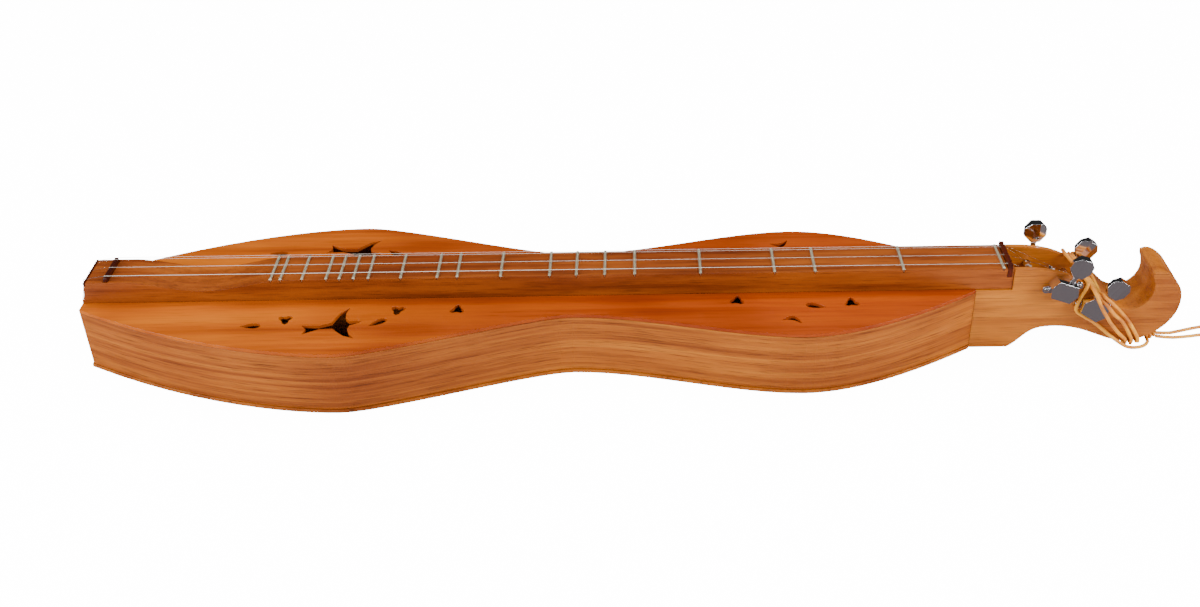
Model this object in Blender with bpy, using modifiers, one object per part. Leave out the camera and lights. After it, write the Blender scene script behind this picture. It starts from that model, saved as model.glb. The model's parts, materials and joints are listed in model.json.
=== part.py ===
"""Mountain dulcimer: an hourglass fretted zither with a scroll head.

Metres, +Z up. X runs along the strings, +X towards the tuners. The origin lies on the
underside of the back, on the centreline, halfway along the sounding strings. The near side
is -Y. Run it with blender --background --python part.py, or from Blender's text editor.
"""

import math

import bmesh
import bpy
import numpy as np
from mathutils import Matrix, Vector

# Sizes of the whole instrument

SCALE_LENGTH = 0.7239  # zero fret to bridge, 28.5 inches
BODY_DEPTH = 0.0564  # underside of the back to the top of the soundboard
BACK_THICKNESS = 0.003
BACK_OVERHANG = 0.001
TOP_THICKNESS = 0.0028
RIB_THICKNESS = 0.003
GLUE_GAP = 0.0003  # between faces that are glued or that lie on each other

# Outline of the body, seen from above

TAIL_PAST_BRIDGE = 0.02255
JOINT_BEFORE_ZERO_FRET = 0.01995
TAIL_HALF_WIDTH = 0.028
TAIL_FLARE = 0.55
TAIL_FLARE_RUN = 0.105
LOWER_BOUT_FROM_TAIL = 0.2185
LOWER_BOUT_HALF_WIDTH = 0.095
LOWER_BOUT_ROUNDNESS = 0.0335
WAIST_FROM_TAIL = 0.4025
WAIST_HALF_WIDTH = 0.0454
WAIST_RUN_TO_LOWER = 0.035
WAIST_RUN_TO_UPPER = 0.057
UPPER_BOUT_FROM_JOINT = 0.1415
UPPER_BOUT_HALF_WIDTH = 0.0776
UPPER_BOUT_RUN_TO_WAIST = 0.054
UPPER_BOUT_ROUNDNESS = 0.0315
SHOULDER_TAPER = 0.65
SHOULDER_TAPER_RUN = 0.067
OUTLINE_STEPS = 12  # points along each of the outline's four curves

# Fingerboard, nut and bridge

BOARD_WIDTH = 0.0368
BOARD_HEIGHT = 0.0192
BOARD_PAST_ZERO_FRET = 0.00855
BOARD_END_SLOPE = 0.0045
HOLLOW_CENTRE_FROM_BRIDGE = 0.080
HOLLOW_LENGTH = 0.135
HOLLOW_DEPTH = 0.0091
HOLLOW_STEPS = 16
NUT_PAST_ZERO_FRET = 0.0052
NUT_THICKNESS = 0.0034
NUT_ABOVE_BOARD = 0.0034
NUT_SLOT_DEPTH = 0.008
NUT_NOTCH = 0.0013
BRIDGE_LENGTH = 0.0335
BRIDGE_THICKNESS = 0.0035
BRIDGE_ABOVE_BOARD = 0.0034
BRIDGE_SLOT_DEPTH = 0.005
END_STRIP_WIDTH = 0.0016
END_STRIP_DEPTH = 0.0022
END_STRIP_ABOVE_BOARD = 0.0003

# Frets: the diatonic steps above the open string, in semitones

FRET_STEPS = (2, 4, 5, 7, 9, 10, 11, 12, 14, 16, 17, 19, 21, 22, 23, 24, 26, 28, 29)
FRET_WIDTH = 0.0024
FRET_HEIGHT = 0.0011
FRET_TANG = 0.0006
FRET_TANG_DEPTH = 0.0016
FRET_END_BEVEL = 0.8

# Blocks and braces inside the body

TAIL_BLOCK_LENGTH = 0.025
HEAD_BLOCK_LENGTH = 0.030
BRACE_WIDTH = 0.008
BRACE_HEIGHT = 0.010
TOP_BRACES_FROM_TAIL = (0.085, 0.455)
BACK_BRACES_FROM_TAIL = (0.215, 0.555)

# Head, its pegbox and its scroll

HEAD_WIDTH = 0.039
CHEEK_THICKNESS = 0.004
CHANNEL_LENGTH = 0.0752
CHANNEL_DEPTH_AT_NUT = 0.0276
CHANNEL_DEPTH_AT_END = 0.0416

# Tuners: a closed housing on the cheek's face with a worm, a gear, a post and a button

TUNER_COVER_LENGTH = 0.0234
TUNER_COVER_FLAT = 0.0164
TUNER_COVER_HEIGHT = 0.0157
TUNER_COVER_THICKNESS = 0.0107
TUNER_WORM_OFFSET = 0.0025  # from the cover's middle, away from the post
TUNER_SHAFT_HEIGHT = 0.0070  # the button shaft's axis above the cheek
TUNER_POST_OFFSET = 0.0045
TUNER_LUG_RADIUS = 0.0033
TUNER_LUG_THICKNESS = 0.0022
TUNER_LUGS = ((-0.0061, 0.0107), (0.0058, -0.0118))
POST_RADIUS = 0.003
POST_HOLE_CLEARANCE = 0.0004
POST_PAST_MIDDLE = 0.0045
STRING_HOLE_RADIUS = 0.0008
GEAR_RADIUS = 0.0046
GEAR_THICKNESS = 0.0036
GEAR_TEETH = 14
GEAR_TOOTH_DEPTH = 0.0007
WORM_RADIUS = 0.0021
WORM_LENGTH = 0.0100
WORM_CLEARANCE = 0.0004
SHAFT_RADIUS = 0.0022
SHAFT_RING_RADIUS = 0.0028
BUTTON_FROM_COVER = 0.0240
BUTTON_WIDTH = 0.0178
BUTTON_HEIGHT = 0.0165
BUTTON_THICKNESS = 0.0078
BUTTON_FLAT_BAND = 0.0054
BUTTON_RIM = 0.0030
BUTTON_CORNER = 0.0048

# Where each tuner's cover sits: name, side, from the body joint, below the board's top, tilt

TUNERS = (
    ("tuner_far_front", 1, 0.0517, 0.0164, 90.0),
    ("tuner_near_front", -1, 0.0674, 0.0164, 69.6),
    ("tuner_far_rear", 1, 0.0820, 0.0281, 54.0),
    ("tuner_near_rear", -1, 0.0939, 0.0337, 54.4),
)

# Strings: name, diameter, place across the board, tuner, place across at the post

STRINGS = (
    ("string_melody_outer", 0.00030, 0.0152, "tuner_far_rear", 0.0085),
    ("string_melody_inner", 0.00030, 0.0122, "tuner_far_front", 0.0070),
    ("string_middle", 0.00036, -0.0002, "tuner_near_front", -0.0008),
    ("string_bass", 0.00056, -0.0136, "tuner_near_rear", -0.0075),
)
WOUND_FROM_BELOW = "string_bass"  # it passes under the other near post
POST_TURNS = 2.25
POINTS_PER_TURN = 12
TURN_CLEARANCE = 0.00045
PIN_RADIUS = 0.001
PIN_HEAD_RADIUS = 0.0016
PIN_LENGTH = 0.012
PIN_PROUD = 0.0032
PINS_BELOW_TOP = 0.012
PIN_STAGGER = 0.005  # every other pin is lower, for its string's loop

# The leather lace: a thong about 3 mm thick, wound four times round the neck and knotted

LACE_DIAMETER = 0.0029
LACE_LIE = 0.0021  # its middle above the flat faces that it lies on
LACE_LIE_ON_SLOPE = 0.0027  # the same on the neck's sloping upper edges
LACE_POINT_SPACING = 0.0028
KNOT_LENGTH = 0.0105
KNOT_RADIUS = 0.0036
KNOT_FROM_JOINT = 0.149
KNOT_ACROSS = -0.010
KNOT_HEIGHT = 0.0039

# Places worked out from the sizes

BRIDGE_X = -SCALE_LENGTH / 2
ZERO_FRET_X = SCALE_LENGTH / 2
TAIL_X = BRIDGE_X - TAIL_PAST_BRIDGE
JOINT_X = ZERO_FRET_X - JOINT_BEFORE_ZERO_FRET
BOARD_END_X = ZERO_FRET_X + BOARD_PAST_ZERO_FRET
BOARD_TOP = BODY_DEPTH + BOARD_HEIGHT
HEAD_HALF = HEAD_WIDTH / 2
CHEEK_INNER = HEAD_HALF - CHEEK_THICKNESS

# Scene, collections and materials

for old in list(bpy.data.objects):
    bpy.data.objects.remove(old, do_unlink=True)

parts = bpy.data.collections.new("mountain_dulcimer")
cutters = bpy.data.collections.new("cutters")
bpy.context.scene.collection.children.link(parts)
bpy.context.scene.collection.children.link(cutters)


def material(name, colour, roughness, metallic=0.0):
    made = bpy.data.materials.new(name)
    made.use_nodes = True
    shader = made.node_tree.nodes["Principled BSDF"]
    shader.inputs["Base Color"].default_value = (*colour, 1.0)
    shader.inputs["Roughness"].default_value = roughness
    shader.inputs["Metallic"].default_value = metallic
    made.diffuse_color = (*colour, 1.0)
    return made


CHERRY_TOP = material("cherry_soundboard", (0.62, 0.24, 0.03), 0.35)
WALNUT = material("walnut_body", (0.42, 0.18, 0.06), 0.4)
BOARD_WOOD = material("walnut_fingerboard", (0.34, 0.14, 0.04), 0.4)
SPRUCE = material("spruce_inside", (0.70, 0.52, 0.30), 0.6)
ROSEWOOD = material("rosewood", (0.06, 0.015, 0.012), 0.4)
NICKEL_SILVER = material("nickel_silver", (0.72, 0.70, 0.62), 0.3, 1.0)
STEEL = material("string_steel", (0.75, 0.74, 0.72), 0.25, 1.0)
CHROME = material("chrome", (0.85, 0.85, 0.86), 0.08, 1.0)
BRASS = material("brass", (0.78, 0.57, 0.22), 0.3, 1.0)
LEATHER = material("leather_lace", (0.65, 0.30, 0.05), 0.7)


def put(obj, finish=None, collection=parts):
    """Links an object into its collection with its material."""
    collection.objects.link(obj)
    if finish is not None:
        obj.data.materials.clear()
        obj.data.materials.append(finish)
    return obj


def from_bmesh(name, bm, finish, smooth=False):
    """A new object from a bmesh, with its faces pointing out."""
    bmesh.ops.recalc_face_normals(bm, faces=bm.faces)
    mesh = bpy.data.meshes.new(name)
    bm.to_mesh(mesh)
    bm.free()
    if smooth:
        mesh.shade_smooth()
        mesh.set_sharp_from_angle(angle=math.radians(35))
    return put(bpy.data.objects.new(name, mesh), finish)


def box(name, low, high, finish):
    """A block between two corners, with its origin at its middle."""
    low, high = Vector(low), Vector(high)
    bm = bmesh.new()
    bmesh.ops.create_cube(bm, size=1.0)
    bmesh.ops.scale(bm, vec=high - low, verts=bm.verts)
    made = from_bmesh(name, bm, finish)
    made.location = (low + high) / 2
    return made


def flat_shape(name, loops, low, high, finish, axes="XY"):
    """Closed outlines, the later ones holes, extruded from low to high.

    axes "XY" lays the outlines flat and extrudes up. "XZ" stands them up and extrudes
    along Y.
    """
    curve = bpy.data.curves.new(name, "CURVE")
    curve.dimensions = "2D"
    curve.fill_mode = "BOTH"
    curve.extrude = (high - low) / 2
    curve.resolution_u = 1
    for loop in loops:
        spline = curve.splines.new("POLY")
        spline.points.add(len(loop) - 1)
        for point, (a, b) in zip(spline.points, loop):
            point.co = (a, b, 0.0, 1.0)
        spline.use_cyclic_u = True
    guide = put(bpy.data.objects.new(name + "_guide", curve), None, cutters)
    bpy.context.view_layer.update()
    evaluated = guide.evaluated_get(bpy.context.evaluated_depsgraph_get())
    mesh = bpy.data.meshes.new_from_object(evaluated)
    bpy.data.objects.remove(guide, do_unlink=True)
    mesh.name = name
    bm = bmesh.new()
    bm.from_mesh(mesh)
    bmesh.ops.remove_doubles(bm, verts=bm.verts, dist=1e-6)
    bmesh.ops.translate(bm, vec=(0, 0, (low + high) / 2), verts=bm.verts)
    if axes == "XZ":
        stand = Matrix(((1, 0, 0), (0, 0, 1), (0, 1, 0)))
        bmesh.ops.transform(bm, matrix=stand.to_4x4(), verts=bm.verts)
    bmesh.ops.recalc_face_normals(bm, faces=bm.faces)
    bm.to_mesh(mesh)
    bm.free()
    return put(bpy.data.objects.new(name, mesh), finish)


def turned(name, profile, finish, steps=24, turn=Matrix.Identity(3)):
    """A solid turned about local Z from (radius, height) points, top to bottom."""
    curve_points = [Vector((radius, 0, height)) for radius, height in profile]
    bm = bmesh.new()
    made = [bm.verts.new(point) for point in curve_points]
    for a, b in zip(made, made[1:]):
        bm.edges.new((a, b))
    mesh = bpy.data.meshes.new(name)
    bm.to_mesh(mesh)
    bm.free()
    obj = put(bpy.data.objects.new(name, mesh), finish)
    screw = obj.modifiers.new("turned", "SCREW")
    screw.steps = steps
    screw.render_steps = steps
    screw.use_merge_vertices = True
    screw.merge_threshold = 0.00001
    screw.use_smooth_shade = True
    obj.rotation_euler = turn.to_euler()
    return obj


def as_cutter(obj):
    """Moves an object to the cutters and hides it."""
    for collection in list(obj.users_collection):
        collection.objects.unlink(obj)
    cutters.objects.link(obj)
    obj.hide_render = True
    obj.display_type = "WIRE"
    return obj


def cut(obj, cutter, operation="DIFFERENCE"):
    """Cuts one object with another, and keeps the cutter as a guide."""
    if cutter.name not in cutters.objects:
        as_cutter(cutter)
    boolean = obj.modifiers.new(cutter.name, "BOOLEAN")
    boolean.operation = operation
    boolean.solver = "EXACT"
    boolean.object = cutter
    return obj


def tube(name, points, diameter, finish, resolution=2):
    """A round cord or wire along a list of points, with its ends closed."""
    curve = bpy.data.curves.new(name, "CURVE")
    curve.dimensions = "3D"
    curve.bevel_depth = diameter / 2
    curve.bevel_resolution = resolution
    curve.use_fill_caps = True
    curve.resolution_u = 1
    spline = curve.splines.new("POLY")
    spline.points.add(len(points) - 1)
    for point, place in zip(spline.points, points):
        point.co = (*place, 1.0)
    return put(bpy.data.objects.new(name, curve), finish)


def smooth_route(points, spacing):
    """Points about a spacing apart along a smooth curve through the given ones."""
    ends = [2 * points[0] - points[1], *points, 2 * points[-1] - points[-2]]
    dense = []
    for a, b, c, d in zip(ends, ends[1:], ends[2:], ends[3:]):
        steps = 12
        for step in range(steps):
            t = step / steps
            dense.append(
                0.5
                * (
                    2 * b
                    + (c - a) * t
                    + (2 * a - 5 * b + 4 * c - d) * t**2
                    + (3 * b - a - 3 * c + d) * t**3
                )
            )
    dense.append(points[-1])
    along = [0.0]
    for a, b in zip(dense, dense[1:]):
        along.append(along[-1] + (b - a).length)
    count = max(2, round(along[-1] / spacing) + 1)
    wanted = np.linspace(0, along[-1], count)
    table = np.array([tuple(p) for p in dense])
    return [
        Vector(tuple(float(np.interp(s, along, table[:, k])) for k in range(3)))
        for s in wanted
    ]


def length_of(points):
    return sum((b - a).length for a, b in zip(points, points[1:]))


# Body outline


def bezier(a, b, c, d, steps):
    """Points on one cubic curve, without its last."""
    made = []
    for step in range(steps):
        t = step / steps
        made.append(
            a * (1 - t) ** 3 + 3 * b * t * (1 - t) ** 2 + 3 * c * t**2 * (1 - t) + d * t**3
        )
    return made


def body_side():
    """Half of the body's outline from tail to head: (x, distance from the middle)."""
    tail = Vector((TAIL_X, TAIL_HALF_WIDTH))
    lower = Vector((TAIL_X + LOWER_BOUT_FROM_TAIL, LOWER_BOUT_HALF_WIDTH))
    waist = Vector((TAIL_X + WAIST_FROM_TAIL, WAIST_HALF_WIDTH))
    upper = Vector((JOINT_X - UPPER_BOUT_FROM_JOINT, UPPER_BOUT_HALF_WIDTH))
    head = Vector((JOINT_X, HEAD_HALF))
    flare = Vector((1, TAIL_FLARE)) * TAIL_FLARE_RUN
    taper = Vector((-1, SHOULDER_TAPER)) * SHOULDER_TAPER_RUN
    along = Vector((1, 0))
    made = bezier(
        tail, tail + flare, lower - along * LOWER_BOUT_ROUNDNESS, lower, OUTLINE_STEPS
    )
    made += bezier(
        lower,
        lower + along * LOWER_BOUT_ROUNDNESS,
        waist - along * WAIST_RUN_TO_LOWER,
        waist,
        OUTLINE_STEPS,
    )
    made += bezier(
        waist,
        waist + along * WAIST_RUN_TO_UPPER,
        upper - along * UPPER_BOUT_RUN_TO_WAIST,
        upper,
        OUTLINE_STEPS,
    )
    made += bezier(
        upper, upper + along * UPPER_BOUT_ROUNDNESS, head + taper, head, OUTLINE_STEPS
    )
    return made + [head]


def offset_side(inward):
    """The body's outline moved inward by a distance, or outward by a negative one."""
    side = body_side()
    made = []
    for i, point in enumerate(side):
        before, after = side[max(i - 1, 0)], side[min(i + 1, len(side) - 1)]
        run = (after - before).normalized()
        made.append(point + Vector((run.y, -run.x)) * inward)
    return made


def half_width(x, inward=0.0):
    side = offset_side(inward)
    return float(np.interp(x, [p.x for p in side], [p.y for p in side]))


def clipped_side(inward, low, high):
    """An offset outline that starts and ends exactly at two places along X."""
    inner = [p for p in offset_side(inward) if low + 1e-5 < p.x < high - 1e-5]
    first = Vector((low, half_width(low, inward)))
    last = Vector((high, half_width(high, inward)))
    return [first, *inner, last]


# Sound holes: a bird in flight among leaves, the same on both sides


def turned_and_placed(points, centre, angle):
    turn = Matrix.Rotation(math.radians(angle), 2)
    return [Vector(centre) + turn @ Vector(point) for point in points]


def teardrop(centre, length, width, angle):
    """A leaf with one pointed end, which points along the angle."""
    made = []
    for step in range(14):
        t = 2 * math.pi * step / 14
        taper = math.sin(t / 2)
        made.append((length / 2 * math.cos(t), width / 2 * 1.3 * math.sin(t) * taper))
    return turned_and_placed(made, centre, angle)


def leaf_fan(centre, size, angle):
    """A three-lobed leaf, broad at its base, whose tip points along the angle."""
    made = []
    for step in range(15):
        t = 2 * math.pi * step / 15
        reach = size / 2 * (0.80 + 0.26 * math.cos(3 * t))
        made.append((reach * math.cos(t), 0.92 * reach * math.sin(t)))
    return turned_and_placed(made, centre, angle)


def crescent(centre, length, width, angle):
    """A leaf that bends, with both ends pointed."""
    made = []
    for step in range(7):
        t = step / 7
        made.append((length * (t - 0.5), width * (1.15 * math.sin(math.pi * t) - 0.25)))
    for step in range(7):
        t = 1 - step / 7
        made.append((length * (t - 0.5), width * (0.35 * math.sin(math.pi * t) - 0.25)))
    return turned_and_placed(made, centre, angle)


def flying_bird(centre, span, angle):
    """A bird seen from below, its head along the angle and its tail fanned."""
    half_body = (
        (0.52, 0.00), (0.40, 0.045), (0.30, 0.06), (0.25, 0.16), (0.27, 0.31), (0.34, 0.46),
        (0.17, 0.34), (0.07, 0.19), (0.02, 0.09), (-0.20, 0.05), (-0.48, 0.13), (-0.42, 0.00),
    )  # fmt: skip
    other_half = [(x, -y) for x, y in reversed(half_body[1:-1])]
    outline = [(x * span, y * span) for x, y in (*half_body, *other_half)]
    return turned_and_placed(outline, centre, angle)


TEARDROP = (0.0165, 0.0072)
FAN = 0.0135
HOLES = (
    teardrop((-0.2375, -0.0546), *TEARDROP, 182),
    leaf_fan((-0.2110, -0.0460), FAN, -84),
    flying_bird((-0.1725, -0.0560), 0.0480, 13),
    teardrop((-0.1362, -0.0523), *TEARDROP, 216),
    leaf_fan((-0.1222, -0.0350), FAN, -96),
    leaf_fan((-0.0743, -0.0355), FAN, 88),
    leaf_fan((0.1500, -0.0288), FAN, 80),
    teardrop((0.2120, -0.0380), *TEARDROP, -16),
    leaf_fan((0.2407, -0.0340), FAN, 92),
    crescent((0.1912, -0.0585), 0.0165, 0.0075, -17),
)

# Back, ribs and soundboard

back_side = clipped_side(-BACK_OVERHANG, TAIL_X - BACK_OVERHANG, JOINT_X - GLUE_GAP)
flat_shape(
    "back",
    [[(p.x, -p.y) for p in back_side] + [(p.x, p.y) for p in reversed(back_side)]],
    0.0,
    BACK_THICKNESS,
    WALNUT,
)


def rib(name, side):
    """One side of the body: a bent strip, thickened inward."""
    path = clipped_side(0.0, TAIL_X, JOINT_X - GLUE_GAP)
    low = BACK_THICKNESS + GLUE_GAP
    high = BODY_DEPTH - TOP_THICKNESS - GLUE_GAP
    bm = bmesh.new()
    lower = [bm.verts.new((p.x, side * p.y, low)) for p in path]
    for a, b in zip(lower, lower[1:]):
        bm.edges.new((a, b))
    raised = bmesh.ops.extrude_edge_only(bm, edges=bm.edges[:])["geom"]
    up = [v for v in raised if isinstance(v, bmesh.types.BMVert)]
    bmesh.ops.translate(bm, vec=(0, 0, high - low), verts=up)
    mesh = bpy.data.meshes.new(name)
    bm.to_mesh(mesh)
    bm.free()
    strip = put(bpy.data.objects.new(name, mesh), WALNUT)
    outward = mesh.polygons[0].normal.y * side > 0
    wall = strip.modifiers.new("wall", "SOLIDIFY")
    wall.thickness = RIB_THICKNESS
    wall.offset = -1.0 if outward else 1.0
    wall.use_even_offset = True
    return strip


rib("rib_near", -1)
rib("rib_far", 1)


def soundboard(name, side):
    """Half of the bookmatched top, with its sound holes."""
    path = clipped_side(0.0, TAIL_X, JOINT_X - GLUE_GAP)
    seam = GLUE_GAP / 2
    outline = [(TAIL_X, side * seam)]
    outline += [(p.x, side * p.y) for p in path]
    outline += [(JOINT_X - GLUE_GAP, side * seam)]
    holes = [[(p.x, -side * p.y) for p in hole] for hole in HOLES]
    return flat_shape(
        name, [outline, *holes], BODY_DEPTH - TOP_THICKNESS, BODY_DEPTH, CHERRY_TOP
    )


soundboard("soundboard_near", -1)
soundboard("soundboard_far", 1)

# Blocks and braces


def block(name, start, end):
    """An end block that fills the body between the ribs."""
    path = clipped_side(RIB_THICKNESS + GLUE_GAP, start, end)
    outline = [(p.x, -p.y) for p in path] + [(p.x, p.y) for p in reversed(path)]
    return flat_shape(
        name,
        [outline],
        BACK_THICKNESS + GLUE_GAP,
        BODY_DEPTH - TOP_THICKNESS - GLUE_GAP,
        SPRUCE,
    )


tail_block = block("tail_block", TAIL_X, TAIL_X + TAIL_BLOCK_LENGTH)
block("head_block", JOINT_X - GLUE_GAP - HEAD_BLOCK_LENGTH, JOINT_X - GLUE_GAP)


def brace(name, from_tail, low, high):
    """A bar across the body, cut to fit between the ribs."""
    start = TAIL_X + from_tail - BRACE_WIDTH / 2
    end = start + BRACE_WIDTH
    reach = min(half_width(x, RIB_THICKNESS + GLUE_GAP) for x in (start, end))
    return box(name, (start, -reach, low), (end, reach, high), SPRUCE)


under_top = BODY_DEPTH - TOP_THICKNESS - GLUE_GAP
over_back = BACK_THICKNESS + GLUE_GAP
for label, place in zip(("lower", "upper"), TOP_BRACES_FROM_TAIL):
    brace("top_brace_" + label, place, under_top - BRACE_HEIGHT, under_top)
for label, place in zip(("lower", "upper"), BACK_BRACES_FROM_TAIL):
    brace("back_brace_" + label, place, over_back, over_back + BRACE_HEIGHT)

# Fingerboard with its strum hollow and its slots

board_bottom = BODY_DEPTH + GLUE_GAP
hollow_middle = BRIDGE_X + HOLLOW_CENTRE_FROM_BRIDGE
board_profile = [(TAIL_X, board_bottom), (BOARD_END_X, board_bottom), (BOARD_END_X, BOARD_TOP)]
for step in range(HOLLOW_STEPS + 1):
    t = 1 - step / HOLLOW_STEPS
    dip = HOLLOW_DEPTH * (1 - math.cos(2 * math.pi * t)) / 2
    board_profile.append((hollow_middle + HOLLOW_LENGTH * (t - 0.5), BOARD_TOP - dip))
END_STEPS = 5
for step in range(END_STEPS):
    t = step / END_STEPS
    board_profile.append(
        (
            TAIL_X + BOARD_END_SLOPE * (1 - t**2),
            BOARD_TOP - (BOARD_TOP - board_bottom) * t,
        )
    )
half_board = BOARD_WIDTH / 2
fingerboard = flat_shape(
    "fingerboard", [board_profile], -half_board, half_board, BOARD_WOOD, axes="XZ"
)


def slot_cutter(name, x, width, depth, reach):
    made = box(
        name,
        (x - width / 2, -reach, BOARD_TOP - depth),
        (x + width / 2, reach, BOARD_TOP + 0.01),
        None,
    )
    return as_cutter(made)


fret_places = [ZERO_FRET_X]
for semitones in FRET_STEPS:
    fret_places.append(ZERO_FRET_X - SCALE_LENGTH * (1 - 2 ** (-semitones / 12)))
past_board = half_board + 0.002
for number, place in enumerate(fret_places):
    slot = slot_cutter(
        f"fret_slot_{number:02d}",
        place,
        FRET_TANG + 2 * GLUE_GAP,
        FRET_TANG_DEPTH + GLUE_GAP,
        past_board,
    )
    cut(fingerboard, slot)
nut_x = ZERO_FRET_X + NUT_PAST_ZERO_FRET
cut(
    fingerboard,
    slot_cutter(
        "nut_slot", nut_x, NUT_THICKNESS + 2 * GLUE_GAP, NUT_SLOT_DEPTH + GLUE_GAP, past_board
    ),
)
bridge_slot = slot_cutter(
    "bridge_slot",
    BRIDGE_X,
    BRIDGE_THICKNESS + 2 * GLUE_GAP,
    BRIDGE_SLOT_DEPTH + GLUE_GAP,
    BRIDGE_LENGTH / 2 + GLUE_GAP,
)
cut(fingerboard, bridge_slot)
strip_x = TAIL_X + BOARD_END_SLOPE + END_STRIP_WIDTH / 2
strip_cutter = box(
    "end_strip_slot",
    (TAIL_X - 0.002, -past_board, BOARD_TOP - END_STRIP_DEPTH - GLUE_GAP),
    (strip_x + END_STRIP_WIDTH / 2 + GLUE_GAP, past_board, BOARD_TOP + 0.01),
    None,
)
cut(fingerboard, as_cutter(strip_cutter))
box(
    "end_strip",
    (strip_x - END_STRIP_WIDTH / 2, -half_board, BOARD_TOP - END_STRIP_DEPTH),
    (strip_x + END_STRIP_WIDTH / 2, half_board, BOARD_TOP + END_STRIP_ABOVE_BOARD),
    ROSEWOOD,
)

# Frets


def fret_mesh():
    """Fret wire across the board: a rounded crown on a tang, its ends bevelled."""
    crown = []
    for step in range(7):
        t = math.pi * step / 6
        crown.append(
            (FRET_WIDTH / 2 * math.cos(t), GLUE_GAP + FRET_HEIGHT * math.sin(t))
        )
    tang = [
        (-FRET_TANG / 2, GLUE_GAP),
        (-FRET_TANG / 2, -FRET_TANG_DEPTH),
        (FRET_TANG / 2, -FRET_TANG_DEPTH),
        (FRET_TANG / 2, GLUE_GAP),
    ]
    reach = half_board - GLUE_GAP
    made = flat_shape("fret_wire", [crown + tang], -reach, reach, NICKEL_SILVER, axes="XZ")
    mesh = made.data
    for vertex in mesh.vertices:
        lift = max(0.0, vertex.co.z - GLUE_GAP)
        vertex.co.y -= math.copysign(FRET_END_BEVEL * lift, vertex.co.y)
    bpy.data.objects.remove(made, do_unlink=True)
    return mesh


wire = fret_mesh()
for number, place in enumerate(fret_places):
    name = "zero_fret" if number == 0 else f"fret_{number:02d}"
    fret = put(bpy.data.objects.new(name, wire))
    fret.location = (place, 0, BOARD_TOP)

# Nut, bridge and their notches

string_height = BOARD_TOP + GLUE_GAP + FRET_HEIGHT + GLUE_GAP
nut = box(
    "nut",
    (nut_x - NUT_THICKNESS / 2, -half_board, BOARD_TOP - NUT_SLOT_DEPTH),
    (nut_x + NUT_THICKNESS / 2, half_board, BOARD_TOP + NUT_ABOVE_BOARD),
    ROSEWOOD,
)
for name, diameter, across, tuner, at_post in STRINGS:
    notch = box(
        "notch_" + name,
        (nut_x - NUT_THICKNESS, across - NUT_NOTCH / 2, string_height - GLUE_GAP),
        (nut_x + NUT_THICKNESS, across + NUT_NOTCH / 2, BOARD_TOP + 0.01),
        None,
    )
    cut(nut, as_cutter(notch))

half_bridge = BRIDGE_LENGTH / 2
bridge = box(
    "bridge",
    (BRIDGE_X - BRIDGE_THICKNESS / 2, -half_bridge, BOARD_TOP - BRIDGE_SLOT_DEPTH),
    (BRIDGE_X + BRIDGE_THICKNESS / 2, half_bridge, BOARD_TOP + BRIDGE_ABOVE_BOARD),
    ROSEWOOD,
)
rounded = bridge.modifiers.new("rounded_edges", "BEVEL")
rounded.width = 0.0008
rounded.segments = 2
rounded.limit_method = "ANGLE"

# Head: a block that runs out into a pegbox and an open scroll.
# The underside is measured from the body joint and from the table, the upper side from the
# body joint and down from the board's top.

HEAD_UNDERSIDE = (
    (0.0310, 0.0000), (0.0362, 0.0038), (0.0455, 0.0134), (0.0530, 0.0182), (0.0640, 0.0200),
    (0.0755, 0.0195), (0.0880, 0.0168), (0.1010, 0.0118), (0.1130, 0.0070), (0.1250, 0.0046),
    (0.1380, 0.0068), (0.1485, 0.0123), (0.1565, 0.0198), (0.1623, 0.0295), (0.1647, 0.0405),
)  # fmt: skip
HEAD_UPPERSIDE = (
    (0.1635, 0.0236), (0.1588, 0.0148), (0.1518, 0.0080), (0.1462, 0.0050), (0.1410, 0.0047),
    (0.1382, 0.0068), (0.1402, 0.0120), (0.1417, 0.0190), (0.1412, 0.0262), (0.1375, 0.0336),
    (0.1310, 0.0386), (0.1232, 0.0402), (0.1155, 0.0379), (0.1075, 0.0326), (0.0990, 0.0258),
    (0.0910, 0.0192), (0.0830, 0.0134), (0.0750, 0.0084), (0.0660, 0.0047), (0.0570, 0.0024),
    (0.0480, 0.0011), (0.0380, 0.0005),
)  # fmt: skip


def head_outline():
    """The head seen from the near side: (x, z) points of a smooth closed outline."""
    top_start = BOARD_END_X + GLUE_GAP
    ledge = BODY_DEPTH - GLUE_GAP
    rise = BODY_DEPTH + BOARD_HEIGHT
    waypoints = [Vector((JOINT_X + dx, dz + GLUE_GAP, 0)) for dx, dz in HEAD_UNDERSIDE]
    waypoints += [Vector((JOINT_X + dx, rise - dz, 0)) for dx, dz in HEAD_UPPERSIDE]
    waypoints.append(Vector((top_start, rise - 0.0004, 0)))
    smooth = smooth_route(waypoints, 0.004)
    outline = [(JOINT_X, GLUE_GAP)]
    outline += [(p.x, p.y) for p in smooth]
    outline += [(top_start, ledge), (JOINT_X, ledge)]
    return outline


headstock = flat_shape(
    "headstock", [head_outline()], -HEAD_HALF, HEAD_HALF, WALNUT, axes="XZ"
)
channel_start = BOARD_END_X - 0.001
channel_end = BOARD_END_X + CHANNEL_LENGTH
channel = flat_shape(
    "pegbox_channel",
    [
        [
            (channel_start, BOARD_TOP - CHANNEL_DEPTH_AT_NUT),
            (channel_end, BOARD_TOP - CHANNEL_DEPTH_AT_END),
            (channel_end, BOARD_TOP + 0.01),
            (channel_start, BOARD_TOP + 0.01),
        ]
    ],
    -CHEEK_INNER,
    CHEEK_INNER,
    None,
    axes="XZ",
)
cut(headstock, as_cutter(channel))

# Tuners


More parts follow.
